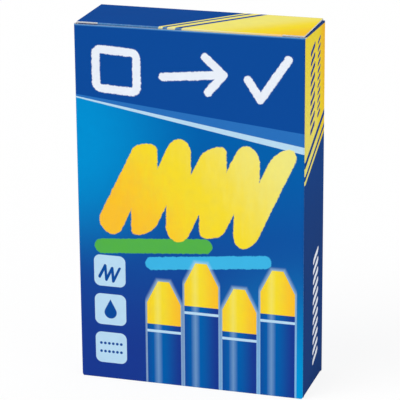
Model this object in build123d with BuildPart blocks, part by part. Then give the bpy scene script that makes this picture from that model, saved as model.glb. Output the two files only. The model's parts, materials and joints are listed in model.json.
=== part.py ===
"""Tuck-end folding carton of wax marking crayons, each crayon in its own paper sleeve.

The carton stands on its closed bottom end. +Z is up, the front panel faces -Y, the right
panel faces +X, and the origin is the middle of the base. All sizes are in millimetres.
"""

import os

from build123d import *

# Crayons
crayon_diameter = 11.5
crayon_length = 114.0
cone_length = 7.6
tip_diameter = 3.8
tip_round = 1.2
base_chamfer = 0.6
paper_thickness = 0.2
paper_clearance = 0.02
bare_above_base = 3.0
bare_below_cone = 7.4

# How the crayons stand in the carton
columns = 6
rows = 2
column_clearance = 0.9
row_clearance = 0.15
side_clearance = 0.35
seat_clearance = 0.1
head_room = 4.8

# Folding board
board = 0.45
inner_fold_radius = 0.25
crease_land = 0.15
edge_drop = 0.6

# Closing flaps, the same at both ends
lid_corner_clearance = 0.05
slit_length = 7.0
slit_clearance = 0.4
tuck_depth = 7.3
tuck_clearance = 0.6
tuck_side_clearance = 0.75
tuck_corner_radius = 5.0
dust_flap_length = 22.0
dust_flap_clearance = 0.15
dust_flap_hinge_room = 0.75
dust_flap_tuck_room = 0.35
dust_flap_tuck_taper = 3.2
dust_flap_tip_width = 7.2
dust_flap_corner_radius = 2.5

# Glued seam inside the left panel
glue_flap_width = 14.0
glue_flap_end_room = 6.0
glue_flap_taper = 3.5

# Sizes that follow from the ones above
corner_radius = inner_fold_radius + board
crease_round = board - crease_land
inner_width = columns * crayon_diameter + (columns - 1) * column_clearance + 2 * (board + side_clearance)
inner_depth = rows * crayon_diameter + (rows + 1) * row_clearance + board + tuck_clearance
carton_width = inner_width + 2 * board
carton_depth = inner_depth + 2 * board
flap_level = board + dust_flap_clearance
lid_seat = board + seat_clearance
flap_seat = flap_level + board + seat_clearance
carton_height = flap_seat + crayon_length + head_room + board + flap_level
wax_radius = crayon_diameter / 2 - paper_thickness - paper_clearance
lid_width = carton_width - 2 * (corner_radius + lid_corner_clearance)
lid_depth = inner_depth - tuck_clearance
tuck_width = inner_width - 2 * tuck_side_clearance
tuck_face = inner_depth / 2 - tuck_clearance

top_end = Plane(origin=(0, 0, carton_height), x_dir=(1, 0, 0), z_dir=(0, 0, 1))
bottom_end = Plane(origin=(0, 0, 0), x_dir=(1, 0, 0), z_dir=(0, 0, -1))

os.makedirs("parts", exist_ok=True)


def save(piece, node):
    """Label a finished piece and write it to a STEP file of the same name."""
    piece.part.label = node
    export_step(piece.part, f"parts/{node}.step")


def make_wall(node, facing, low, high, creases):
    """One panel of the carton's tube, which meets its neighbours on the diagonals of the corners.

    facing is the panel's outward direction, and creases are the heights where it folds into a flap.
    """
    across = carton_width if facing.Y else carton_depth
    outward = (carton_depth if facing.Y else carton_width) / 2
    inward = outward - board
    mitre = 2 * corner_radius + board
    with BuildPart() as wall:
        with BuildSketch(Plane(origin=(0, 0, low), x_dir=(-facing.Y, facing.X, 0), z_dir=(0, 0, 1))):
            RectangleRounded(across, 2 * outward, corner_radius)
            RectangleRounded(across - 2 * board, 2 * inward, inner_fold_radius, mode=Mode.SUBTRACT)
            with BuildLine():
                Polyline(
                    (-across / 2, -outward),
                    (across / 2, -outward),
                    (across / 2 - mitre, mitre - outward),
                    (mitre - across / 2, mitre - outward),
                    close=True,
                )
            make_face(mode=Mode.INTERSECT)
        extrude(amount=high - low)
        for height in creases:
            outer_face = wall.faces().filter_by(GeomType.PLANE).sort_by(Axis((0, 0, 0), facing))[-1]
            fillet(outer_face.edges().filter_by_position(Axis.Z, height, height), crease_round)
    save(wall, node)


def make_glue_flap():
    """The seam flap: folded in from the back panel and glued to the inside of the left panel."""
    back_edge = inner_depth / 2 - inner_fold_radius
    front_edge = back_edge - glue_flap_width
    low = glue_flap_end_room
    high = carton_height - glue_flap_end_room
    with BuildPart() as glue_flap:
        with BuildSketch(Plane(origin=(-inner_width / 2, 0, 0), x_dir=(0, 1, 0), z_dir=(1, 0, 0))):
            with BuildLine():
                Polyline(
                    (back_edge, low),
                    (back_edge, high),
                    (front_edge, high - glue_flap_taper),
                    (front_edge, low + glue_flap_taper),
                    close=True,
                )
            make_face()
        extrude(amount=board)
    save(glue_flap, "glue_flap")


def make_lid(node, end):
    """The closing panel of one end, creased to its tuck flap between two slits."""
    hinge_edge = inner_depth / 2
    tuck_edge = hinge_edge - lid_depth
    crease_length = lid_width - 2 * slit_length
    with BuildPart() as lid:
        with BuildSketch(end):
            with Locations((0, hinge_edge - lid_depth / 2)):
                Rectangle(crease_length, lid_depth)
        extrude(amount=-board)
        outer_edges = lid.faces().sort_by(Axis((0, 0, 0), end.z_dir))[-1].edges()
        fillet(outer_edges.sort_by(Axis((0, 0, 0), end.y_dir))[0], crease_round)
        with BuildSketch(end):
            for side in (-1, 1):
                with Locations((side * (crease_length + slit_length) / 2, (hinge_edge + tuck_edge) / 2)):
                    Rectangle(slit_length, lid_depth)
        extrude(amount=-board)
    save(lid, node)


def make_tuck_flap(node, end):
    """The flap under the lid's free edge, which slides down behind the facing panel."""
    outer_face = Plane(
        origin=end.from_local_coords((0, -tuck_face, 0)), x_dir=end.x_dir, z_dir=end.y_dir * -1
    )
    crease_length = lid_width - 2 * slit_length
    shoulder = -board - slit_clearance
    free_edge = -board - tuck_depth
    with BuildPart() as tuck_flap:
        with BuildSketch(outer_face) as outline:
            with BuildLine():
                Polyline(
                    (-crease_length / 2, -board),
                    (crease_length / 2, -board),
                    (crease_length / 2, shoulder),
                    (tuck_width / 2, shoulder),
                    (tuck_width / 2, free_edge),
                    (-tuck_width / 2, free_edge),
                    (-tuck_width / 2, shoulder),
                    (-crease_length / 2, shoulder),
                    close=True,
                )
            make_face()
            fillet(outline.vertices().group_by(Axis.Y)[0], tuck_corner_radius)
        extrude(amount=-board)
    save(tuck_flap, node)


def make_dust_flap(node, end, side):
    """The tapered flap folded in from a side panel, under the lid. side is -1 at left and 1 at right."""
    hinge_edge = inner_width / 2
    free_edge = hinge_edge - dust_flap_length
    lid_hinge_end = inner_depth / 2 - board - dust_flap_hinge_room
    tuck_end = board + dust_flap_tuck_room - tuck_face
    tip_end = tuck_end + dust_flap_tuck_taper
    with BuildPart() as dust_flap:
        with BuildSketch(end.offset(-flap_level)) as outline:
            with BuildLine():
                Polyline(
                    (side * hinge_edge, tuck_end),
                    (side * hinge_edge, lid_hinge_end),
                    (side * free_edge, tip_end + dust_flap_tip_width),
                    (side * free_edge, tip_end),
                    close=True,
                )
            make_face()
            tip_corners = outline.vertices().sort_by(Axis((0, 0, 0), (-side, 0, 0)))[-2:]
            fillet(tip_corners, dust_flap_corner_radius)
        extrude(amount=-board)
    save(dust_flap, node)


def make_crayon(name, column, row):
    """One crayon standing on its base, tip up: the cast wax stick and the paper wound round it."""
    x = (column - (columns - 1) / 2) * (crayon_diameter + column_clearance)
    y = -inner_depth / 2 + row_clearance + crayon_diameter / 2 + row * (crayon_diameter + row_clearance)
    over_flap = abs(x) + crayon_diameter / 2 > inner_width / 2 - dust_flap_length
    seat = flap_seat if over_flap else lid_seat
    profile = Plane(origin=(x, y, seat), x_dir=(1, 0, 0), z_dir=(0, -1, 0))
    axis = Axis((x, y, seat), (0, 0, 1))
    shoulder = crayon_length - cone_length
    sleeve_inside = wax_radius + paper_clearance
    sleeve_length = shoulder - bare_below_cone - bare_above_base

    with BuildPart() as wax:
        with BuildSketch(profile) as section:
            with BuildLine():
                Polyline(
                    (0, 0),
                    (wax_radius - base_chamfer, 0),
                    (wax_radius, base_chamfer),
                    (wax_radius, shoulder),
                    (tip_diameter / 2, crayon_length),
                    (0, crayon_length),
                    close=True,
                )
            make_face()
            fillet(section.vertices().group_by(Axis.Y)[-1].sort_by(Axis.X)[-1], tip_round)
        revolve(axis=axis)
    save(wax, f"{name}_wax")

    with BuildPart() as sleeve:
        with BuildSketch(profile):
            with Locations((sleeve_inside, bare_above_base)):
                Rectangle(paper_thickness, sleeve_length, align=(Align.MIN, Align.MIN))
        revolve(axis=axis)
    save(sleeve, f"{name}_sleeve")


side_low = flap_level
side_high = carton_height - flap_level
make_wall("front_panel", Vector(0, -1, 0), 0, carton_height - edge_drop, creases=(0,))
make_wall("back_panel", Vector(0, 1, 0), 0, carton_height, creases=(carton_height,))
make_wall("left_panel", Vector(-1, 0, 0), side_low, side_high, creases=(side_low, side_high))
make_wall("right_panel", Vector(1, 0, 0), side_low, side_high, creases=(side_low, side_high))
make_glue_flap()

for end_name, end in (("top", top_end), ("bottom", bottom_end)):
    make_lid(f"{end_name}_lid", end)
    make_tuck_flap(f"{end_name}_tuck_flap", end)
    make_dust_flap(f"{end_name}_dust_flap_left", end, side=-1)
    make_dust_flap(f"{end_name}_dust_flap_right", end, side=1)

for row in range(rows):
    for column in range(columns):
        make_crayon(f"crayon_{row * columns + column + 1:02d}", column, row)
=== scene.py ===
"""Looks of a printed folding carton of wax marking crayons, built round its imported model."""

import json
import math

import bmesh
import bpy
from bpy.props import FloatProperty, FloatVectorProperty, IntProperty, PointerProperty
from mathutils import Matrix, Vector

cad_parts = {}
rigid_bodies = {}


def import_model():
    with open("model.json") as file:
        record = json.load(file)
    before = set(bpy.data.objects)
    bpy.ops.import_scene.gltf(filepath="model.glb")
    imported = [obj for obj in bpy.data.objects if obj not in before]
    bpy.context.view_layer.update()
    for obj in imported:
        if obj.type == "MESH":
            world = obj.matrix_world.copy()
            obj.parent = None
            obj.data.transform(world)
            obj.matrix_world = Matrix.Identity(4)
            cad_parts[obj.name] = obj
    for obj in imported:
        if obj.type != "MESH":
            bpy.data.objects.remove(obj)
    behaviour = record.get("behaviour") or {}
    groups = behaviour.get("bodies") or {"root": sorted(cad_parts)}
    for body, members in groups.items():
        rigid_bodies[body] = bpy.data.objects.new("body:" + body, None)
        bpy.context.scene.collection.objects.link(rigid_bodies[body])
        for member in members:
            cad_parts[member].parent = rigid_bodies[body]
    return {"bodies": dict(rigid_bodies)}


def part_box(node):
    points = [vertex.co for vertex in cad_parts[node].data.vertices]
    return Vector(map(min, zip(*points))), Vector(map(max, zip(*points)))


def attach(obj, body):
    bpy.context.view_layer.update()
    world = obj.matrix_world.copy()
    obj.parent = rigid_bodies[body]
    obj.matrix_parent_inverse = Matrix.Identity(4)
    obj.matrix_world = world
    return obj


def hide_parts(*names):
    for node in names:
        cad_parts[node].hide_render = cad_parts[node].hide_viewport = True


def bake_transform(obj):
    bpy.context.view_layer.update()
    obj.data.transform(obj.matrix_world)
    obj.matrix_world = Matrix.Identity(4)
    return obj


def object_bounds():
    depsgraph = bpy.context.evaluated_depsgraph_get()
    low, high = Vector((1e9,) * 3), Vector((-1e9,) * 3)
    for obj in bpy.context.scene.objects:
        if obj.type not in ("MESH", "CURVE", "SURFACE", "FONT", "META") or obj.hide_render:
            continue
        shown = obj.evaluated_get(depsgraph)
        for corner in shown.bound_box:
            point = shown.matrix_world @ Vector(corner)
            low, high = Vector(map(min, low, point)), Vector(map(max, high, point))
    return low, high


bl_info = {
    "name": "Crayon carton",
    "version": (1, 0, 0),
    "blender": (4, 5, 0),
    "location": "3D View > Sidebar > Crayon carton",
    "description": "Folding carton of wax marking crayons in paper sleeves",
    "category": "Object",
}

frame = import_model()
CAD_LOW, CAD_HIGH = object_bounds()

MM = 0.001
WIDTH, DEPTH, HEIGHT = CAD_HIGH - CAD_LOW
LID_LOW, LID_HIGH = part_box("top_lid")
TUCK_LOW, TUCK_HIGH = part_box("top_tuck_flap")
FLAP_LOW, FLAP_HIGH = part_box("top_dust_flap_right")
BOARD = LID_HIGH.z - LID_LOW.z
FLAP_LEVEL = HEIGHT - FLAP_HIGH.z
CREASE = FLAP_LEVEL + BOARD
# The front panel's solid ends half way round the carton's corner.
CORNER_RADIUS = (CAD_HIGH.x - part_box("front_panel")[1].x) / (1 - math.sqrt(0.5))
FLAP_ROOT = DEPTH / 2 - CORNER_RADIUS
# Boards are a little thinner than their solids, so that boards that touch share no face.
SHEET = BOARD * 0.97
SHARP = math.radians(38)
# Points within MERGE metres are joined, and within SAME metres they count as one place.
MERGE = 1e-7
SAME = 1e-6
PLACE = "place_at_rest"
# Softness of a drawn stroke's edge, in millimetres.
DRAWN_EDGE = 0.3
WHITE = (1, 1, 1, 1)
ENDS = ("top", "bottom")
SIDES = {"left": -1, "right": 1}
CRAYONS = sorted(body for body in frame["bodies"] if body.startswith("crayon_"))
GOLDEN_TURN = math.pi * (3 - math.sqrt(5))
SENSOR = 36
LAMP_SPREAD = math.radians(40)
# Directions from which the lamps shine.
LAMPS = {"key": (-0.42, -0.48, 0.80), "fill": (0.85, -0.42, 0.32), "back": (0.18, 0.94, 0.22)}


# Properties

def length(name, description, default):
    """A length in metres that a user may change."""
    return FloatProperty(name=name, description=description, default=default, unit="LENGTH",
                         subtype="DISTANCE", precision=5)


def colour(name, description, red, green, blue):
    """A colour given by its screen values from 0 to 255."""
    return FloatVectorProperty(name=name, description=description, subtype="COLOR_GAMMA", size=3,
                               min=0, max=1, default=(red / 255, green / 255, blue / 255))


class CartonSizes(bpy.types.PropertyGroup):
    """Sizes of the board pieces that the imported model's boxes don't give."""

    slit_length: length("Slit length", "Length of the cut at each end of a lid's tuck crease", 7 * MM)
    slit_clearance: length("Slit gap", "How far a tuck flap's shoulder lies below its lid", 0.12 * MM)
    tuck_corner: length("Tuck corner", "Radius of a tuck flap's corners", 5 * MM)
    tuck_bleed: length("Tuck bleed", "How far a lid's print runs down its tuck flap", 2.5 * MM)
    flap_tip: length("Dust flap tip", "Width of a dust flap's free edge", 7.2 * MM)
    flap_taper: length("Dust flap taper", "Slant of a dust flap's edge on the tuck side", 3.2 * MM)
    flap_corner: length("Dust flap corner", "Radius of a dust flap's free corners", 2.5 * MM)
    front_drop: length("Front edge drop", "How far the front's cut edge lies below the lid", 0.42 * MM)
    front_skew: length("Front edge skew", "How much lower the front's cut edge is at its left", 0.28 * MM)
    glue_taper: length("Glue flap taper", "Slant of the glue flap's ends", 3.5 * MM)
    fold_steps: IntProperty(name="Fold steps", description="Faces round each fold", default=6, min=2)


class PrintColours(bpy.types.PropertyGroup):
    """Inks and bare board of the carton."""

    header: colour("Header", "Deep blue of the header and flaps", 12, 74, 154)
    indigo: colour("Indigo", "Dark end of the front's blue", 26, 57, 143)
    azure: colour("Azure", "Middle blue of the front", 2, 96, 172)
    cyan: colour("Cyan", "Bright end of the front's blue", 0, 150, 216)
    navy: colour("Navy", "Blue of the sides", 26, 62, 124)
    ribbon: colour("Ribbon", "Upper slanted ribbon", 42, 112, 188)
    pale: colour("Pale blue", "Lower ribbon and the pictogram tiles", 186, 220, 242)
    chalk: colour("Chalk", "White marks drawn on the header and a side", 236, 242, 251)
    yellow: colour("Yellow", "Main yellow ink", 247, 221, 46)
    orange: colour("Orange", "Warm end of the yellow", 252, 194, 44)
    lemon: colour("Lemon", "Pale end of the yellow", 243, 234, 128)
    green: colour("Green", "Green stroke", 84, 178, 72)
    aqua: colour("Aqua", "Light blue stroke", 62, 182, 230)
    # Painted highlight: light screened into the ink on the lids' front creases and along the front's top
    # edge, in place of the coating's reflection of the lamps.
    painted_highlight: colour("Sheen", "Light added where the coating is stretched over a fold", 89, 149, 188)
    board: colour("Board", "Unprinted inside of the board", 236, 231, 220)
    cut: colour("Cut edge", "Fibres where the board is cut", 244, 244, 246)


class CrayonLooks(bpy.types.PropertyGroup):
    """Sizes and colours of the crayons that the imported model's boxes don't give."""

    cone: length("Cone", "Length of the cone at the writing end", 7.6 * MM)
    tip: length("Tip", "Diameter of the flat at the writing end", 3.8 * MM)
    tip_round: length("Tip round", "Rounding of the tip's edge", 0.6 * MM)
    base_round: length("Base round", "Rounding of the base's edge", 0.6 * MM)
    lap: length("Sleeve lap", "Step where a sleeve's paper ends over its own start", 0.12 * MM)
    steps: IntProperty(name="Round steps", description="Faces round each crayon", default=64, min=12)
    wax: colour("Wax", "Yellow wax", 247, 208, 34)
    bloom: colour("Bloom", "Whitish haze on the wax", 252, 222, 96)
    paper: colour("Sleeve", "Blue paper of the sleeve", 38, 60, 142)
    rings: colour("Sleeve rings", "Rings printed on the sleeve", 176, 208, 238)


class StageSettings(bpy.types.PropertyGroup):
    """Camera and light."""

    azimuth: FloatProperty(name="Azimuth", description="Camera's turn to the right of the front",
                           default=math.radians(16.91), subtype="ANGLE")
    elevation: FloatProperty(name="Elevation", description="Camera's height angle",
                             default=math.radians(18.3), subtype="ANGLE")
    roll: FloatProperty(name="Roll", description="Camera's turn about its own axis",
                        default=math.radians(-0.44), subtype="ANGLE")
    distance: length("Distance", "Camera's distance from the carton", 0.7453)
    target_x: length("Target sideways", "Point looked at, to the right of the middle", -0.00034)
    target_z: length("Target height", "Point looked at, above the floor", 0.06078)
    lens: FloatProperty(name="Lens", description="Focal length in millimetres on a 36 mm sensor",
                        default=205.96)
    sky: FloatProperty(name="Sky", description="Strength of the even light from all round", default=0.42)
    key: FloatProperty(name="Key", description="Strength of the lamp at the left front", default=1.8)
    fill: FloatProperty(name="Fill", description="Strength of the lamp at the right", default=0.40)
    back: FloatProperty(name="Back", description="Strength of the low lamp behind", default=1.0)
    floor: length("Floor", "Half the width of the floor", 2.0)
    glow: FloatProperty(name="Floor glow", description="Share of the floor that is white in any light",
                        default=0.88, subtype="FACTOR", min=0, max=1)


# Materials

class Field:
    """What changes over a surface: one output socket, with arithmetic that adds Math nodes."""

    def __init__(self, finish, socket):
        self.finish = finish
        self.socket = socket

    def __add__(self, other):
        return self.finish.math("ADD", self, other)

    def __radd__(self, other):
        return self.finish.math("ADD", other, self)

    def __sub__(self, other):
        return self.finish.math("SUBTRACT", self, other)

    def __rsub__(self, other):
        return self.finish.math("SUBTRACT", other, self)

    def __mul__(self, other):
        return self.finish.math("MULTIPLY", self, other)

    def __rmul__(self, other):
        return self.finish.math("MULTIPLY", other, self)

    def __truediv__(self, other):
        return self.finish.math("DIVIDE", self, other)

    def __neg__(self):
        return self.finish.math("MULTIPLY", self, -1.0)

    def __abs__(self):
        return self.finish.math("ABSOLUTE", self)


class Shading:
    """The nodes of one material or world, from an empty tree."""

    def __init__(self, owner):
        owner.use_nodes = True
        self.tree = owner.node_tree
        self.tree.nodes.clear()

    def node(self, kind, settings=None, inputs=None, output=0):
        """Add a node: its settings first, then its sockets' values or links. Gives one output."""
        made = self.tree.nodes.new(kind)
        for name, value in (settings or {}).items():
            setattr(made, name, value)
        for key, value in (inputs or {}).items():
            if isinstance(value, Field):
                self.tree.links.new(value.socket, made.inputs[key])
            else:
                made.inputs[key].default_value = value
        return Field(self, made.outputs[output]) if made.outputs else made

    def math(self, operation, *values, clamp=False):
        return self.node("ShaderNodeMath", {"operation": operation, "use_clamp": clamp},
                         dict(enumerate(values)))

    def least(self, a, b):
        return self.math("MINIMUM", a, b)

    def most(self, a, b):
        return self.math("MAXIMUM", a, b)

    def seen_directly(self):
        """1 for camera, glossy and transmission rays."""
        camera, glossy, through = (self.node("ShaderNodeLightPath", output=name)
                                   for name in ("Is Camera Ray", "Is Glossy Ray", "Is Transmission Ray"))
        return self.most(self.most(camera, glossy), through)


class Finish(Shading):
    """One procedural material. Its fields x, y and z are a point's place at rest, in millimetres."""

    def __init__(self, name):
        self.material = bpy.data.materials.new(name)
        super().__init__(self.material)
        place = self.node("ShaderNodeAttribute", {"attribute_name": PLACE}, output="Vector")
        self.place = self.node("ShaderNodeVectorMath", {"operation": "SCALE"}, {0: place, 3: 1 / MM})
        self.x, self.y, self.z = (self.node("ShaderNodeSeparateXYZ", {}, {0: self.place}, axis)
                                  for axis in range(3))

    def cover(self, distance, soft=0.14):
        """1 inside a shape, 0 outside, from the distance outside its edge."""
        return self.math("MULTIPLY_ADD", distance, -1 / soft, 0.5, clamp=True)

    def ramp(self, value, low, high):
        """0 below low, 1 above high, eased between."""
        return self.node("ShaderNodeMapRange", {"interpolation_type": "SMOOTHSTEP"},
                         {0: value, 1: low, 2: high})

    def mix(self, factor, under, over):
        """Lay one colour over another."""
        return self.node("ShaderNodeMix", {"data_type": "RGBA"},
                         {0: factor, 6: under, 7: over}, output=2)

    def lighten(self, factor, under, light):
        """Add light to a colour, up to white."""
        return self.node("ShaderNodeMix", {"data_type": "RGBA", "blend_type": "SCREEN"},
                         {0: factor, 6: under, 7: light}, output=2)

    def noise(self, scale, detail=2.0, roughness=0.5, stretch=(1, 1, 1)):
        """Soft noise from 0 to 1, with scale features to a millimetre along each stretched axis."""
        place = self.node("ShaderNodeVectorMath", {"operation": "MULTIPLY"}, {0: self.place, 1: stretch})
        return self.node("ShaderNodeTexNoise", {},
                         {"Vector": place, "Scale": scale, "Detail": detail, "Roughness": roughness})

    def bump(self, height, distance, normal=None):
        """A Bump node: height from 0 to 1, distance in millimetres."""
        inputs = {"Height": height, "Distance": distance * MM, "Strength": 1.0}
        if normal:
            inputs["Normal"] = normal
        return self.node("ShaderNodeBump", {}, inputs)

    def close(self, **sockets):
        """Finish with a Principled shader and give the material."""
        shader = self.node("ShaderNodeBsdfPrincipled", {}, sockets)
        self.node("ShaderNodeOutputMaterial", {}, {"Surface": shader})
        return self.material


def ink(gamma):
    """A colour property as the linear colour that a shader socket takes."""
    return tuple(value / 12.92 if value <= 0.04045 else ((value + 0.055) / 1.055) ** 2.4
                 for value in gamma) + (1.0,)


def capsule(f, u, v, start, end, radius):
    """Distance outside a thick stroke with round ends."""
    across, along = end[0] - start[0], end[1] - start[1]
    du, dv = u - start[0], v - start[1]
    share = f.math("DIVIDE", du * across + dv * along, across ** 2 + along ** 2, clamp=True)
    eu, ev = du - share * across, dv - share * along
    return f.math("SQRT", eu * eu + ev * ev) - radius


def disc(f, u, v, centre, radius):
    """Distance outside a disc."""
    du, dv = u - centre[0], v - centre[1]
    return f.math("SQRT", du * du + dv * dv) - radius


def tile(f, u, v, centre, half_u, half_v, corner):
    """Distance outside a rectangle with round corners."""
    du = abs(u - centre[0]) - (half_u - corner)
    dv = abs(v - centre[1]) - (half_v - corner)
    ou, ov = f.most(du, 0.0), f.most(dv, 0.0)
    return f.math("SQRT", ou * ou + ov * ov) + f.least(f.most(du, dv), 0.0) - corner


def scribble(f, u, v, centre, turns, swing, pitch, radius, lean):
    """Distance outside a zigzag crayon stroke; turns is odd, pitch is from one turn to the next."""
    rise = v - centre[1]
    run = u - centre[0] - rise * lean + turns * pitch / 2
    inside = f.least(f.most(run, 0.0), turns * pitch)
    folded = f.math("PINGPONG", inside, pitch) + (run - inside)
    wander = f.math("SINE", run * 0.31) * 1.3
    return capsule(f, folded, rise + wander, (0, -swing), (pitch, swing), radius)


def hatching(f, u, v, centre, reach, pitch, half, radius, lean):
    """Distance outside a column of slanting strokes, reach of them above and below the middle one."""
    across = u - centre[0]
    rise = v - centre[1] - across * lean
    nearest = f.math("ROUND", f.least(f.most(rise / pitch, -reach), reach))
    return tile(f, across, rise - nearest * pitch, (0, 0), half, radius, radius)


def waxy(f, distance):
    """Roughen a drawn stroke's edge, as wax leaves it on board."""
    return distance + (f.noise(0.8, 3.0, 0.65) - 0.5) * 0.9


def glow(f, u, v, centre, reach, core):
    """1 within the core distance of a point, fading to 0 at its reach."""
    return f.ramp(disc(f, u, v, centre, 0), reach, core)


def stroke(f, colour_under, u, v, start, end, radius, inked):
    """Lay a thick crayon stroke over a colour."""
    drawn = waxy(f, capsule(f, u, v, start, end, radius))
    return f.mix(f.cover(drawn, DRAWN_EDGE), colour_under, ink(inked))


def yellow_ink(f, c, share):
    """Yellow that runs from orange by lemon, with share from 0 to 1."""
    warm = f.mix(f.ramp(share, 0.0, 0.5), ink(c.orange), ink(c.yellow))
    return f.mix(f.ramp(share, 0.45, 1.1), warm, ink(c.lemon))


def drawn_marks(f, u, v, middle, radius):
    """Distance outside an open square, an arrow and a tick, drawn side by side."""
    marks = abs(tile(f, u, v + u * 0.05, (-24.0, middle - 1.2), 6.8, 6.4, 1.8)) - radius
    for start, end in (((-8.5, -1.0), (11.5, 1.0)), ((11.5, 1.0), (5.5, 6.4)), ((11.5, 1.0), (6.4, -5.0)),
                       ((19.5, 0.0), (23.5, -6.2)), ((23.5, -6.2), (32.5, 7.2))):
        marks = f.least(marks, capsule(f, u, v - middle, start, end, radius))
    return waxy(f, marks)


def pictograms(f, colour_under, c, u, v, centres, half):
    """Pale tiles with a rack of twelve dots, a drop and a drawn zigzag."""
    pale, blue = ink(c.pale), ink(c.header)
    unit = half / 5.6
    marks = []
    for centre in centres:
        colour_under = f.mix(f.cover(tile(f, u, v, centre, half, half, 2.2 * unit)), colour_under, pale)
    du, dv = u - centres[0][0], v - centres[0][1]
    column = f.math("PINGPONG", du, 0.72 * unit) - 0.72 * unit
    row = abs(dv) - 1.5 * unit
    dots = f.most(disc(f, column, row, (0, 0), 0.5 * unit), abs(du) - 4.4 * unit)
    marks.append(f.cover(dots))
    du, dv = u - centres[1][0], v - centres[1][1]
    drop = f.least(disc(f, du, dv, (0, -1.1 * unit), 2.2 * unit),
                   f.most((abs(du) - (3.7 * unit - dv) * 0.52) * 0.88, -0.1 * unit - dv))
    marks.append(f.cover(drop))
    du, dv = u - centres[2][0], v - centres[2][1]
    marks.append(f.cover(scribble(f, du, dv, (0, 0), 5, 2.3 * unit, 1.3 * unit, 0.5 * unit, 0.2)))
    for mark in marks:
        colour_under = f.mix(mark, colour_under, blue)
    return colour_under


def drawn_crayons(f, colour_under, c, u, v, left, pitch, count, low, step):
    """A row of upright crayons, alternately low and high, with a pale glow round them."""
    half_width, half_tip, taper = 5.75, 1.9, 0.507
    paper_at, ring_at = 15.0, 17.4
    cell = f.math("FLOOR", (u - left) / pitch)
    shown = f.math("COMPARE", cell, (count - 1) / 2, (count - 1) / 2 + 0.1)
    across = u - left - (cell + 0.5) * pitch
    below = low + step * f.math("MODULO", cell, 2.0) - v
    half = f.least(half_tip + below * taper, half_width)
    distance = f.most((abs(across) - half) * 0.9, -below)
    side = across / half_width
    shade = f.ramp(abs(side + 0.28), 0.1, 1.25)
    shine = f.cover(abs(side + 0.36) - 0.12, 0.3)
    wax = f.mix(shade, ink(c.yellow), ink(c.orange))
    wax = f.mix(shine * 0.5, wax, ink(c.lemon))
    paper = f.mix(shade, ink(c.azure), ink(c.indigo))
    paper = f.mix(shine * 0.35, paper, ink(c.pale))
    ring = f.cover(abs(below - ring_at) - 0.45)
    paper = f.mix(ring, paper, ink(c.pale))
    drawn = f.mix(f.cover(paper_at - below), wax, paper)
    colour_under = f.mix(f.ramp(distance, 1.5, 0.0) * shown * 0.5, colour_under, ink(c.pale))
    return f.mix(f.cover(distance) * shown, colour_under, drawn)


def stripes(f, colour_under, c, level, warm):
    """Yellow above level 0, with two narrower stripes below it, each a little apart."""
    yellow = yellow_ink(f, c, warm)
    band = f.least(f.least(-level, abs(level + 3.4) - 1.3), abs(level + 6.9) - 0.7)
    return f.mix(f.cover(band), colour_under, yellow)


def printed(f, c, base, wear_and_highlight):
    """Coated board: fine tooth, faint waves, ink mottle and pale fibres where folds are worn, which also
    stand as a painted highlight on the folds.
    """
    tooth = f.noise(2.6, 3.0, 0.6)
    waves = f.noise(0.045, 1.0)
    mottle = f.noise(0.35, 3.0)
    base = f.mix((mottle - 0.35) * 0.10, base, ink(c.header))
    scuff = f.ramp(f.noise(1.7, 3.0, 0.7), 0.42, 0.62)
    # Pale fibres, partly wear and partly a painted highlight on the folds.
    base = f.mix(wear_and_highlight * (0.05 + scuff * 0.3), base, ink(c.cut))
    normal = f.bump(tooth, 0.006, f.bump(waves, 0.12))
    return f.close(**{"Base Color": base, "Roughness": 0.36 + tooth * 0.14, "Normal": normal,
                      "Specular IOR Level": 0.0, "Coat Weight": 0.03, "Coat Roughness": 0.3})


def fold_wear_and_highlight(f, u, half, width=0.30):
    """Pale share beside a panel's upright folds: wear, and a painted highlight along the folds."""
    return f.ramp(abs(u), half - width, half - 0.05)


def front_print(c, sizes):
    """Header with drawn marks, two ribbons, a zigzag, two strokes, crayons and pictograms on blue."""
    f = Finish("front_print")
    u, v = f.x, f.z
    base = f.mix(f.ramp(v, 6.0, 92.0), ink(c.indigo), ink(c.azure))
    base = f.mix(glow(f, u, v, (42, -4), 62.0, 6.0), base, ink(c.cyan))
    base = f.mix(glow(f, u, v, (-44, 84), 52.0, 8.0) * 0.85, base, ink(c.cyan))
    level = v + u * 0.10 - 93.5
    base = f.mix(f.cover(-level), base, ink(c.header))
    base = f.mix(f.cover(f.most(level, 91.0 - v - u * 0.15)), base, ink(c.ribbon))
    base = f.mix(f.cover(f.most(v + u * 0.15 - 91.0, 89.6 - v - u * 0.175)), base, ink(c.pale))
    base = f.mix(f.cover(drawn_marks(f, u, v, 106.0, 1.35), DRAWN_EDGE), base, ink(c.chalk))
    base = stroke(f, base, u, v, (-30, 46.5), (5, 49.5), 2.5, c.green)
    base = stroke(f, base, u, v, (-13, 42.0), (25, 46.0), 2.2, c.aqua)
    drawn = waxy(f, scribble(f, u, v, (2, 67.5), 9, 12.0, 5.7, 4.3, 0.24))
    grain = f.noise(0.5, 3.0, 0.6, (1, 1, 0.25))
    warm = f.math("MULTIPLY_ADD", u + v * 0.8 - 30.0, 0.014, grain * 0.25)
    base = f.mix(f.cover(drawn, DRAWN_EDGE), base, yellow_ink(f, c, warm))
    base = drawn_crayons(f, base, c, u, v, -15.5, 12.8, 4, 36.0, 7.5)
    base = pictograms(f, base, c, u, v, ((-27.5, 11.0), (-27.5, 24.5), (-27.5, 38.0)), 5.4)
    rim = (HEIGHT - sizes.front_drop - sizes.front_skew / 2) / MM + u * (sizes.front_skew / WIDTH)
    # Painted highlight along the front's top cut edge.
    base = f.lighten(f.ramp(rim - v, 0.55, 0.1) * 0.7, base, ink(c.painted_highlight))
    return printed(f, c, base, fold_wear_and_highlight(f, u, WIDTH / 2 / MM))


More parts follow.
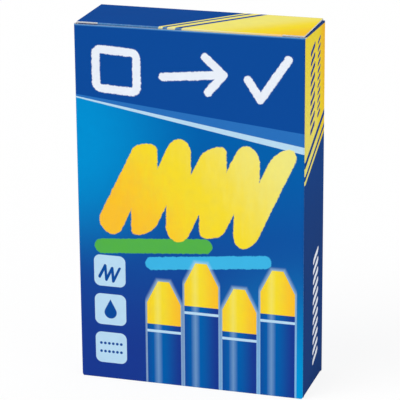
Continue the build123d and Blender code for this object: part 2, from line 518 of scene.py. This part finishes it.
def right_print(c):
    """Yellow with slanted stripes below it, hatched in blue, over navy hatched in white."""
    f = Finish("right_print")
    u, v = f.y, f.z
    base = f.mix(f.ramp(v, 40.0, 100.0) * 0.5, ink(c.navy), ink(c.header))
    warm = 0.64 - f.ramp(u, 0.0, 13.0) * 0.6 + (112.0 - v) * 0.0078
    base = stripes(f, base, c, v - u * 0.46 - 86.0, warm)
    drawn = waxy(f, hatching(f, u, v, (2.5, 27.0), 5, 3.5, 3.4, 1.0, 0.45))
    base = f.mix(f.cover(drawn, DRAWN_EDGE), base, ink(c.chalk))
    drawn = f.least(hatching(f, u, v, (-3.4, 102.0), 4, 3.2, 2.9, 0.85, 0.45),
                    hatching(f, u, v, (4.6, 104.0), 5, 2.4, 1.8, 0.6, 0.45))
    base = f.mix(f.cover(waxy(f, drawn), DRAWN_EDGE), base, ink(c.indigo))
    flap_edge = (HEIGHT - CREASE) / MM + 0.15 - u * 0.02
    base = f.mix(f.cover(flap_edge - v, 0.1), base, ink(c.navy))
    return printed(f, c, base, fold_wear_and_highlight(f, u, DEPTH / 2 / MM))


def left_print(c):
    """Two upright strokes over three pictograms."""
    f = Finish("left_print")
    u, v = -f.y, f.z
    base = f.mix(f.ramp(v, 10.0, 90.0), ink(c.indigo), ink(c.header))
    base = stroke(f, base, u, v, (-4, 40), (-4, 98), 2.5, c.green)
    base = stroke(f, base, u, v, (4, 52), (4, 104), 2.2, c.aqua)
    base = pictograms(f, base, c, u, v, ((0, 9.0), (0, 18.0), (0, 27.0)), 3.2)
    return printed(f, c, base, fold_wear_and_highlight(f, u, DEPTH / 2 / MM))


def back_print(c):
    """A zigzag, an empty pale field and three pictograms on blue."""
    f = Finish("back_print")
    u, v = -f.x, f.z
    base = f.mix(f.ramp(v + u * 0.4, 96.0, 4.0), ink(c.header), ink(c.azure))
    base = f.mix(glow(f, u, v, (-40, 0), 60.0, 4.0), base, ink(c.cyan))
    level = 30.0 - v - u * 0.10
    base = f.mix(f.cover(-f.most(level, 27.5 - v - u * 0.15)), base, ink(c.ribbon))
    base = f.mix(f.cover(tile(f, u, v, (0, 66), 29, 17, 4)), base, ink(c.pale))
    drawn = waxy(f, scribble(f, u, v, (0, 100), 11, 6.0, 4.4, 3.0, 0.24))
    warm = f.math("MULTIPLY_ADD", u + v - 60.0, 0.012, f.noise(0.5, 3.0) * 0.25)
    base = f.mix(f.cover(drawn, DRAWN_EDGE), base, yellow_ink(f, c, warm))
    base = pictograms(f, base, c, u, v, ((-14, 13.0), (0, 13.0), (14, 13.0)), 5.4)
    return printed(f, c, base, fold_wear_and_highlight(f, u, WIDTH / 2 / MM))


def lid_print(c, end):
    """Header's blue with yellow stripes on the top and an empty pale field below, with a painted highlight
    on its crease.
    """
    f = Finish(f"{end}_lid_print")
    front, back = LID_LOW.y / MM, LID_HIGH.y / MM
    u, v = f.x, f.y * (1 if end == "top" else -1)
    depth = HEIGHT / MM - f.z if end == "top" else f.z
    base = f.mix(f.noise(0.04), ink(c.header), ink([value * 0.93 for value in c.header]))
    if end == "top":
        warm = 0.95 - f.ramp(u - v * 1.2, 14.0, 48.0) * 0.8
        base = stripes(f, base, c, u - v * 0.9 - 8.0, warm)
    else:
        base = f.mix(f.cover(tile(f, u, v, (0, 0.5), 24, 6.5, 2.5)), base, ink(c.pale))
    # Painted highlight on the crease to the tuck flap, carried down the tuck's fold, where it also lightens
    # the shade in the gap under the lid.
    crease = f.ramp(v, front + 0.35, front + 0.05) * f.ramp(depth, 1.8, 1.0)
    base = f.lighten(crease * 0.55, base, ink(c.painted_highlight))
    # Pale fibres: wear on the hinge to the wall, and on the front crease wear that adds to the painted
    # highlight.
    wear_and_highlight = f.most(crease * 0.3, f.ramp(v, back - 0.05, back + 0.2))
    return printed(f, c, base, wear_and_highlight)


def flap_print(c):
    """Flaps carry the header's blue over their edges, with no picture."""
    f = Finish("flap_print")
    base = f.mix(f.noise(0.05), ink(c.header), ink(c.navy))
    return printed(f, c, base, f.ramp(f.noise(0.9, 3.0, 0.7), 0.62, 0.9))


def bare_board(c):
    """Grey-white inside of the board, cloudy, with fibres that lie both ways and darker flecks."""
    f = Finish("bare_board")
    fibres = f.noise(2.2, 4.0, 0.7, (1, 1, 0.15)) * 0.5 + f.noise(2.2, 4.0, 0.7, (0.15, 0.15, 1)) * 0.5
    flecks = f.ramp(f.noise(2.4, 1.0), 0.66, 0.72)
    clouds = f.noise(0.12, 3.0)
    base = f.mix(f.ramp(fibres, 0.38, 0.60), ink([value * 0.955 for value in c.board]), ink(c.board))
    base = f.mix(f.ramp(clouds, 0.35, 0.65) * 0.3, base, ink([value * 0.95 for value in c.board]))
    base = f.mix(flecks * 0.3, base, ink([value * 0.72 for value in c.board]))
    return f.close(**{"Base Color": base, "Roughness": 0.82 + fibres * 0.12,
                      "Normal": f.bump(fibres, 0.05), "Specular IOR Level": 0.2})


def cut_board(c):
    """White cut edge of the board, with the plies as faint fibres, and ink over the front's top edge."""
    f = Finish("cut_board")
    fibres = f.noise(5.0, 4.0, 0.7, (0.3, 0.3, 1))
    base = f.mix(f.ramp(fibres, 0.3, 0.75), ink([value * 0.86 for value in c.cut]), ink(c.cut))
    inked = f.cover(f.y + FLAP_ROOT / MM) * f.cover((HEIGHT - CREASE) / MM - f.z)
    base = f.mix(inked * 0.55, base, ink(c.ribbon))
    return f.close(**{"Base Color": base, "Roughness": 0.85 + fibres * 0.1, "Specular IOR Level": 0.2})


def cast_wax(k):
    """Cast wax: whitish bloom, streaks rubbed along the rod, and fine pits from the mould."""
    f = Finish("cast_wax")
    bloom = f.noise(0.35, 4.0, 0.6)
    rub = f.noise(1.2, 3.0, 0.6, (1, 1, 0.2))
    pits = f.ramp(f.noise(3.2, 1.0), 0.66, 0.74)
    base = f.mix(f.ramp(bloom, 0.40, 0.66) * 0.5, ink(k.wax), ink(k.bloom))
    base = f.mix(f.ramp(rub, 0.54, 0.74) * 0.4, base, ink([value * 0.88 for value in k.wax]))
    base = f.mix(pits * 0.22, base, ink([value * 0.7 for value in k.wax]))
    normal = f.bump(rub - pits * 0.5, 0.05, f.bump(bloom, 0.08))
    return f.close(**{"Base Color": base, "Roughness": 0.40 + bloom * 0.25, "Normal": normal,
                      "Subsurface Weight": 0.08, "Subsurface Scale": 0.002})


def wrapped_paper(k):
    """Blue wrapped paper: pale rings, lengthwise fibres, and scuffs that thicken towards its ends."""
    f = Finish("wrapped_paper")
    low, high = (corner.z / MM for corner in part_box("crayon_01_sleeve"))
    fibres = f.noise(1.6, 3.0, 0.6, (1, 1, 0.2))
    base = f.mix(f.ramp(fibres, 0.32, 0.68) * 0.6, ink(k.paper), ink([value * 0.80 for value in k.paper]))
    rings = f.least(abs(f.z - low - 3.0) - 0.5, abs(f.z - high + 3.0) - 0.5)
    rings = f.least(rings, abs(f.z - high + 5.0) - 0.25)
    base = f.mix(f.cover(rings), base, ink(k.rings))
    ends = f.ramp(abs(f.z - (low + high) / 2), (high - low) / 2 - 1.2, (high - low) / 2)
    scuffs = f.ramp(f.noise(1.1, 4.0, 0.7, (1, 1, 0.5)) + ends * 0.14, 0.64, 0.80)
    base = f.mix(scuffs * 0.3, base, ink(k.rings))
    return f.close(**{"Base Color": base, "Roughness": 0.48 + fibres * 0.2 + scuffs * 0.1,
                      "Specular IOR Level": 0.3})


# Meshes

def make_object(name, bm, materials):
    """Turn a bmesh into an object at the origin."""
    mesh = bpy.data.meshes.new(name)
    bm.to_mesh(mesh)
    bm.free()
    for material in materials:
        mesh.materials.append(material)
    made = bpy.data.objects.new(name, mesh)
    bpy.context.scene.collection.objects.link(made)
    return made


def finish_mesh(mesh):
    """Smooth a mesh between its sharp edges, and keep each point's place at rest for its finish."""
    mesh.shade_smooth()
    mesh.set_sharp_from_angle(angle=SHARP)
    places = [value for vert in mesh.vertices for value in vert.co]
    mesh.attributes.new(PLACE, "FLOAT_VECTOR", "POINT").data.foreach_set("vector", places)


def make_piece(name, bm, materials):
    """Turn a closed bmesh into a finished piece."""
    piece = make_object(name, bm, materials)
    finish_mesh(piece.data)
    return piece


def make_board(name, bm, prints):
    """Turn a sheet into board: printed outside, bare inside, with a cut rim."""
    bare, cut = bpy.data.materials["bare_board"], bpy.data.materials["cut_board"]
    count = len(prints)
    piece = make_object(name, bm, prints + [bare] * count + [cut] * count)
    shell = piece.modifiers.new("board", "SOLIDIFY")
    shell.thickness = SHEET
    shell.offset = -1
    shell.material_offset = count
    shell.material_offset_rim = 2 * count
    solid = bpy.data.meshes.new_from_object(piece.evaluated_get(bpy.context.evaluated_depsgraph_get()))
    finish_mesh(solid)
    piece.modifiers.clear()
    piece.data = solid
    normals = piece.modifiers.new("flat faces", "WEIGHTED_NORMAL")
    normals.keep_sharp = True
    return piece


def plate(bm, low_u, high_u, low_v, high_v):
    """A flat rectangle in the plane of the floor."""
    made = bmesh.ops.create_grid(bm, x_segments=1, y_segments=1, size=0.5)
    size = (high_u - low_u, high_v - low_v, 1)
    bmesh.ops.scale(bm, vec=size, verts=made["verts"])
    middle = ((low_u + high_u) / 2, (low_v + high_v) / 2, 0)
    bmesh.ops.translate(bm, vec=middle, verts=made["verts"])
    return made["verts"]


def edges_where(bm, test):
    """Edges whose both ends pass a test of their place."""
    return [edge for edge in bm.edges if all(test(vert.co) for vert in edge.verts)]


def verts_where(bm, test):
    return [vert for vert in bm.verts if test(vert.co)]


def near(value, target):
    return abs(value - target) < SAME


def pull_edges(bm, edges, move):
    """Extrude edges by a move."""
    made = bmesh.ops.extrude_edge_only(bm, edges=edges)["geom"]
    bmesh.ops.translate(bm, vec=move, verts=[item for item in made if isinstance(item, bmesh.types.BMVert)])


def fold_edges(bm, edges, centre, axis, angle, steps):
    """Sweep edges round a fold."""
    bmesh.ops.spin(bm, geom=edges, cent=centre, axis=axis, angle=angle, steps=steps, use_merge=False)
    bmesh.ops.remove_doubles(bm, verts=bm.verts[:], dist=MERGE)


def round_corners(bm, verts, radius, steps):
    bmesh.ops.bevel(bm, geom=verts, offset=radius, offset_type="OFFSET", segments=steps, profile=0.5,
                    affect="VERTICES", material=-1)


def cut_across(bm, places, axis):
    """Cut a mesh at the given places along an axis."""
    for place in places:
        bmesh.ops.bisect_plane(bm, geom=bm.verts[:] + bm.edges[:] + bm.faces[:],
                               plane_co=Vector(axis) * place, plane_no=axis)


def face_out(bm, direction):
    """Turn a sheet so that its face furthest in the given direction looks that way."""
    way = Vector(direction)
    bmesh.ops.recalc_face_normals(bm, faces=bm.faces[:])
    bm.normal_update()
    furthest = max(bm.faces, key=lambda face: face.calc_center_median().dot(way))
    if furthest.normal.dot(way) < 0:
        bmesh.ops.reverse_faces(bm, faces=bm.faces[:])


def print_past_fold(bm, past):
    """Give the faces of a fold the print of the wall or lid that they come from."""
    for face in bm.faces:
        if past(face.calc_center_median()):
            face.material_index = 1


def to_end(bm, end):
    """Move what was made about the top's outer face to the carton's top or bottom."""
    turn = Matrix.Translation((0, 0, HEIGHT))
    if end == "bottom":
        turn = Matrix.Rotation(math.pi, 4, "X")
    bmesh.ops.transform(bm, matrix=turn, verts=bm.verts[:])
    return turn


def rim_depth(place, turn, front_drop):
    """How far from the carton's end the wall stops here; the bottom (turn -1) is turned about x."""
    past_x = abs(place.x) - (WIDTH / 2 - CORNER_RADIUS)
    past_y = abs(place.y) - FLAP_ROOT
    across = place.y * turn
    if past_y <= max(past_x, 0):
        return CREASE if FLAP_LOW.y < across < FLAP_ROOT else FLAP_LEVEL
    if across < 0:
        return front_drop if turn > 0 else 0
    if abs(place.x) < LID_HIGH.x:
        return BOARD
    return CREASE if turn > 0 else 0


def walls_mesh(sizes):
    """The carton's four walls as one tube, each as high as its own folds and cut edges."""
    front_drop = sizes.front_drop
    bm = bmesh.new()
    plate(bm, -WIDTH / 2, WIDTH / 2, -DEPTH / 2, DEPTH / 2)
    round_corners(bm, bm.verts[:], CORNER_RADIUS, sizes.fold_steps)
    bmesh.ops.delete(bm, geom=bm.faces[:], context="FACES_ONLY")
    pull_edges(bm, bm.edges[:], (0, 0, HEIGHT))
    cut_across(bm, (-LID_HIGH.x, LID_HIGH.x), (1, 0, 0))
    cut_across(bm, (FLAP_LOW.y, -FLAP_LOW.y), (0, 1, 0))
    depths = (BOARD, front_drop, FLAP_LEVEL, CREASE)
    cut_across(bm, (*depths, *(HEIGHT - depth for depth in depths)), (0, 0, 1))
    past_rim = []
    for face in bm.faces:
        place = face.calc_center_median()
        if not rim_depth(place, -1, front_drop) < place.z < HEIGHT - rim_depth(place, 1, front_drop):
            past_rim.append(face)
    bmesh.ops.delete(bm, geom=past_rim, context="FACES")
    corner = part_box("front_panel")[1].x - LID_HIGH.x
    for vert in verts_where(bm, lambda co: co.z < FLAP_LEVEL and co.y < 0 and abs(co.x) > LID_HIGH.x):
        vert.co.z = max(vert.co.z, FLAP_LEVEL * (abs(vert.co.x) - LID_HIGH.x) / corner)
    for vert in verts_where(bm, lambda co: co.z > HEIGHT - CREASE and co.y < -FLAP_ROOT):
        vert.co.z = min(vert.co.z, HEIGHT - front_drop - sizes.front_skew * (0.5 - vert.co.x / WIDTH))
    bmesh.ops.remove_doubles(bm, verts=bm.verts[:], dist=MERGE)
    face_out(bm, (0, -1, 0))
    for face in bm.faces:
        if abs(face.normal.x) > abs(face.normal.y):
            face.material_index = 3 if face.normal.x > 0 else 2
        else:
            face.material_index = 0 if face.normal.y < 0 else 1
    return bm


def glue_flap_mesh(taper):
    """The flap that is glued inside the left wall, with slanted ends."""
    low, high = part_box("glue_flap")
    bm = bmesh.new()
    plate(bm, low.z, high.z, low.y, high.y)
    for vert in verts_where(bm, lambda co: near(co.y, low.y)):
        vert.co.x += taper if near(vert.co.x, low.z) else -taper
    turn = Matrix(((0, 0, 1, low.x), (0, 1, 0, 0), (1, 0, 0, 0), (0, 0, 0, 1)))
    bmesh.ops.transform(bm, matrix=turn, verts=bm.verts[:])
    face_out(bm, (-1, 0, 0))
    return bm


class CARTON_OT_walls(bpy.types.Operator):
    """Make the inks and board, and the carton's four walls with its glue flap"""

    bl_idname = "carton.walls"
    bl_label = "Carton walls"

    def execute(self, context):
        c = context.scene.print_colours
        sizes = context.scene.carton_sizes
        bare = bare_board(c)
        cut_board(c)
        flap_print(c)
        prints = [front_print(c, sizes), back_print(c), left_print(c), right_print(c)]
        piece = make_board("carton_walls", walls_mesh(sizes), prints)
        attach(piece, "carton")
        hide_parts("front_panel", "back_panel", "left_panel", "right_panel")
        piece = make_board("glue_flap_board", glue_flap_mesh(sizes.glue_taper), [bare])
        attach(piece, "carton")
        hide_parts("glue_flap")
        return {"FINISHED"}


class CARTON_OT_lids(bpy.types.Operator):
    """Make the two lids, each with its fold to the wall that carries it"""

    bl_idname = "carton.lids"
    bl_label = "Lids"

    def execute(self, context):
        c = context.scene.print_colours
        sizes = context.scene.carton_sizes
        half = LID_HIGH.x
        crease = half - sizes.slit_length
        hinge, front = LID_HIGH.y, LID_LOW.y
        for end in ENDS:
            bm = bmesh.new()
            plate(bm, -half, half, front + BOARD, hinge)
            cut_across(bm, (-crease, crease), (1, 0, 0))
            ears = [edge for edge in edges_where(bm, lambda co: near(co.y, front + BOARD))
                    if abs(edge.verts[0].co.x + edge.verts[1].co.x) > crease]
            pull_edges(bm, ears, (0, -BOARD, 0))
            fold_edges(bm, edges_where(bm, lambda co: near(co.y, hinge)), (0, hinge, -BOARD), (1, 0, 0),
                       -math.pi / 2, sizes.fold_steps)
            face_out(bm, (0, 0, 1))
            print_past_fold(bm, lambda co: co.y > hinge)
            turn = to_end(bm, end)
            wall = bpy.data.materials["back_print" if end == "top" else "front_print"]
            piece = make_board(f"{end}_lid_board", bm, [lid_print(c, end), wall])
            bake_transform(piece)
            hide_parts(f"{end}_lid")
        return {"FINISHED"}


class CARTON_OT_tucks(bpy.types.Operator):
    """Make the two tuck flaps, each with its fold to its lid"""

    bl_idname = "carton.tucks"
    bl_label = "Tuck flaps"

    def execute(self, context):
        sizes = context.scene.carton_sizes
        half = TUCK_HIGH.x
        crease = LID_HIGH.x - sizes.slit_length
        face, depth = LID_LOW.y, HEIGHT - TUCK_LOW.z
        shoulder = BOARD + sizes.slit_clearance
        for end in ENDS:
            bm = bmesh.new()
            plate(bm, -half, half, -depth, -shoulder)
            round_corners(bm, verts_where(bm, lambda co: near(co.y, -depth)), sizes.tuck_corner, 8)
            cut_across(bm, (-crease, crease), (1, 0, 0))
            cut_across(bm, (-sizes.tuck_bleed,), (0, 1, 0))
            bmesh.ops.rotate(bm, cent=(0, 0, 0), matrix=Matrix.Rotation(math.pi / 2, 3, "X"),
                             verts=bm.verts[:])
            bmesh.ops.translate(bm, vec=(0, face, 0), verts=bm.verts[:])
            middle = [edge for edge in edges_where(bm, lambda co: near(co.z, -shoulder))
                      if all(abs(vert.co.x) < crease + SAME for vert in edge.verts)]
            pull_edges(bm, middle, (0, 0, sizes.slit_clearance))
            fold_edges(bm, edges_where(bm, lambda co: near(co.z, -BOARD)), (0, face + BOARD, -BOARD),
                       (1, 0, 0), -math.pi / 2, sizes.fold_steps)
            face_out(bm, (0, -1, 0))
            print_past_fold(bm, lambda co: co.z > -sizes.tuck_bleed and abs(co.x) < crease)
            turn = to_end(bm, end)
            prints = [bpy.data.materials[name] for name in ("flap_print", f"{end}_lid_print")]
            piece = make_board(f"{end}_tuck_board", bm, prints)
            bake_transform(piece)
            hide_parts(f"{end}_tuck_flap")
        return {"FINISHED"}


class CARTON_OT_dust_flaps(bpy.types.Operator):
    """Make the four dust flaps, each with its fold to its side wall"""

    bl_idname = "carton.dust_flaps"
    bl_label = "Dust flaps"

    def execute(self, context):
        sizes = context.scene.carton_sizes
        flap = bpy.data.materials["flap_print"]
        hinge, free = FLAP_HIGH.x, FLAP_LOW.x
        low, high = FLAP_LOW.y, FLAP_ROOT
        tip_low = low + sizes.flap_taper
        for end in ENDS:
            for side, sign in SIDES.items():
                bm = bmesh.new()
                plate(bm, free, hinge, low, high)
                for vert in verts_where(bm, lambda co: near(co.x, free)):
                    vert.co.y = tip_low if near(vert.co.y, low) else tip_low + sizes.flap_tip
                round_corners(bm, verts_where(bm, lambda co: near(co.x, free)), sizes.flap_corner, 6)
                bmesh.ops.translate(bm, vec=(0, 0, -FLAP_LEVEL), verts=bm.verts[:])
                fold_edges(bm, edges_where(bm, lambda co: near(co.x, hinge)),
                           (hinge, 0, -FLAP_LEVEL - BOARD), (0, 1, 0), math.pi / 2, sizes.fold_steps)
                print_past_fold(bm, lambda co: co.x > hinge)
                if sign < 0:
                    bmesh.ops.scale(bm, vec=(-1, 1, 1), verts=bm.verts[:])
                face_out(bm, (0, 0, 1))
                turn = to_end(bm, end)
                body = f"{end}_dust_flap_{side}"
                piece = make_board(f"{body}_board", bm, [flap, bpy.data.materials[f"{side}_print"]])
                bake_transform(piece)
                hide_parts(body)
        return {"FINISHED"}


def spin_round(bm, steps, closed):
    """Spin the drawn outline once round the upright axis. Gives what lies at the end of the turn."""
    return bmesh.ops.spin(bm, geom=bm.verts[:] + bm.edges[:], cent=(0, 0, 0), axis=(0, 0, 1),
                          angle=math.tau, steps=steps, use_merge=closed)["geom_last"]


def close_seam(bm):
    """Join what meets, fill the gap that is left and turn the faces outwards."""
    bmesh.ops.remove_doubles(bm, verts=bm.verts[:], dist=MERGE)
    bmesh.ops.holes_fill(bm, edges=[edge for edge in bm.edges if edge.is_boundary], sides=4)
    bmesh.ops.recalc_face_normals(bm, faces=bm.faces[:])


def outline(bm, points):
    """Join points (radius, height) by edges."""
    verts = [bm.verts.new((radius, 0, height)) for radius, height in points]
    for first, second in zip(verts, verts[1:]):
        bm.edges.new((first, second))
    return verts


def wax_mesh(k, radius, tall):
    """Cast crayon, standing on its base: a rod with a blunt cone."""
    bm = bmesh.new()
    verts = outline(bm, ((0, 0), (radius, 0), (radius, tall - k.cone), (k.tip / 2, tall), (0, tall)))
    round_corners(bm, verts[1:2], k.base_round, 3)
    round_corners(bm, verts_where(bm, lambda co: near(co.z, tall) and co.x > 0), k.tip_round, 4)
    spin_round(bm, k.steps, True)
    close_seam(bm)
    return bm


def sleeve_mesh(k, inner, outer, tall):
    """Paper wound once round, which ends in a step over its own start; its cut edges are white."""
    bm = bmesh.new()
    start = outer - k.lap
    verts = outline(bm, ((inner, 0), (start, 0), (outer, 0), (outer, tall), (start, tall), (inner, tall)))
    bm.edges.new((verts[-1], verts[0]))
    last = spin_round(bm, k.steps, False)
    for vert in verts_where(bm, lambda co: near(co.xy.length, outer)):
        share = 1 if vert in last else math.atan2(vert.co.y, vert.co.x) % math.tau / math.tau
        vert.co.xy *= (start + k.lap * share) / outer
    close_seam(bm)
    bm.normal_update()
    for face in bm.faces:
        outward = face.calc_center_median().xy.normalized()
        face.material_index = 0 if abs(face.normal.xy.dot(outward)) > 0.5 else 1
    return bm


class CARTON_OT_crayons(bpy.types.Operator):
    """Make the crayons: cast wax and a wrapped paper sleeve on each"""

    bl_idname = "carton.crayons"
    bl_label = "Crayons"

    def execute(self, context):
        k = context.scene.crayon_looks
        wax, papers = cast_wax(k), [wrapped_paper(k), bpy.data.materials["cut_board"]]
        for number, crayon in enumerate(CRAYONS):
            wax_node, sleeve_node = f"{crayon}_wax", f"{crayon}_sleeve"
            low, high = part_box(wax_node)
            middle = (low + high) / 2
            turn = Matrix.Rotation(number * GOLDEN_TURN, 4, "Z")
            axis = Matrix.Translation((middle.x, middle.y, 0)) @ turn
            radius, tall = self.round_size(wax_node)
            bm = self.stand(wax_mesh(k, radius, tall), axis, wax_node)
            piece = make_piece(f"{crayon}_cast_wax", bm, [wax])
            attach(piece, crayon)
            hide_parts(wax_node)
            bm = self.stand(sleeve_mesh(k, radius, *self.round_size(sleeve_node)), axis, sleeve_node)
            piece = make_piece(f"{crayon}_paper", bm, papers)
            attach(piece, crayon)
            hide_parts(sleeve_node)
        return {"FINISHED"}

    def round_size(self, node):
        """Radius and height of a round upright node."""
        low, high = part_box(node)
        return (high.x - low.x) / 2, high.z - low.z

    def stand(self, bm, axis, node):
        """Stand a mesh on its crayon's axis, as high as its node."""
        level = Matrix.Translation((0, 0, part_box(node)[0].z))
        bmesh.ops.transform(bm, matrix=level @ axis, verts=bm.verts[:])
        return bm


class CARTON_OT_stage(bpy.types.Operator):
    """Make the white floor, the light and the camera"""

    bl_idname = "carton.stage"
    bl_label = "Stage"

    def execute(self, context):
        s = context.scene.stage_settings
        scene = context.scene
        scene.view_settings.view_transform = "Standard"
        self.make_world(scene, s)
        self.make_floor(s)
        for name, towards in LAMPS.items():
            self.make_lamp(scene, name, getattr(s, name), towards)
        self.make_camera(scene, s)
        return {"FINISHED"}

    def make_lamp(self, scene, name, strength, towards):
        """A wide soft lamp far off in the given direction."""
        lamp = bpy.data.lights.new(name, "SUN")
        lamp.energy = strength
        lamp.angle = LAMP_SPREAD
        placed = bpy.data.objects.new(name, lamp)
        placed.matrix_world = Vector(towards).to_track_quat("Z", "Y").to_matrix().to_4x4()
        scene.collection.objects.link(placed)

    def make_world(self, scene, s):
        """Even light on the carton, white to the camera and in reflections."""
        scene.world = bpy.data.worlds.new("studio")
        f = Shading(scene.world)
        light = f.node("ShaderNodeBackground", {}, {"Color": WHITE, "Strength": s.sky})
        white = f.node("ShaderNodeBackground", {}, {"Color": WHITE, "Strength": 1.0})
        mixed = f.node("ShaderNodeMixShader", {}, {0: f.seen_directly(), 1: light, 2: white})
        f.node("ShaderNodeOutputWorld", {}, {"Surface": mixed})

    def make_floor(self, s):
        """A white floor that keeps the carton's shadow."""
        material = bpy.data.materials.new("floor_white")
        f = Shading(material)
        paper = f.node("ShaderNodeBsdfDiffuse", {}, {"Color": WHITE})
        white = f.node("ShaderNodeEmission", {}, {"Color": WHITE, "Strength": 1.0})
        mixed = f.node("ShaderNodeMixShader", {}, {0: f.seen_directly() * s.glow, 1: paper, 2: white})
        f.node("ShaderNodeOutputMaterial", {}, {"Surface": mixed})
        bm = bmesh.new()
        plate(bm, -s.floor, s.floor, -s.floor, s.floor)
        make_piece("floor", bm, [material])

    def make_camera(self, scene, s):
        """Camera at the photograph's viewing angle, for a square picture."""
        back = Vector((math.sin(s.azimuth) * math.cos(s.elevation),
                       -math.cos(s.azimuth) * math.cos(s.elevation), math.sin(s.elevation)))
        across = Vector((0, 0, 1)).cross(back).normalized()
        up = back.cross(across)
        right = across * math.cos(s.roll) + up * math.sin(s.roll)
        top = up * math.cos(s.roll) - across * math.sin(s.roll)
        data = bpy.data.cameras.new("camera")
        data.sensor_width = SENSOR
        data.lens = s.lens
        camera = bpy.data.objects.new("camera", data)
        place = Vector((s.target_x, 0, s.target_z)) + back * s.distance
        turn = Matrix((right, top, back)).transposed().to_4x4()
        camera.matrix_world = Matrix.Translation(place) @ turn
        scene.collection.objects.link(camera)
        scene.camera = camera


class CARTON_PT_panel(bpy.types.Panel):
    """Sizes, colours and steps of the crayon carton"""

    bl_idname = "CARTON_PT_panel"
    bl_label = "Crayon carton"
    bl_space_type = "VIEW_3D"
    bl_region_type = "UI"
    bl_category = "Crayon carton"

    def draw(self, context):
        for group in GROUPS:
            settings = getattr(context.scene, group)
            box = self.layout.box()
            for name in settings.__annotations__:
                box.prop(settings, name)
        for operator in OPERATORS:
            self.layout.operator(operator.bl_idname)


GROUPS = {"carton_sizes": CartonSizes, "print_colours": PrintColours, "crayon_looks": CrayonLooks,
          "stage_settings": StageSettings}
OPERATORS = (CARTON_OT_walls, CARTON_OT_lids, CARTON_OT_tucks, CARTON_OT_dust_flaps, CARTON_OT_crayons,
             CARTON_OT_stage)
CLASSES = (*GROUPS.values(), *OPERATORS, CARTON_PT_panel)


def register():
    for item in CLASSES:
        bpy.utils.register_class(item)
    for name, group in GROUPS.items():
        setattr(bpy.types.Scene, name, PointerProperty(type=group))


def unregister():
    for name in GROUPS:
        delattr(bpy.types.Scene, name)
    for item in reversed(CLASSES):
        bpy.utils.unregister_class(item)


def main():
    register()
    bpy.ops.carton.walls()
    bpy.ops.carton.lids()
    bpy.ops.carton.tucks()
    bpy.ops.carton.dust_flaps()
    bpy.ops.carton.crayons()
    bpy.ops.carton.stage()


if __name__ == "__main__":
    main()
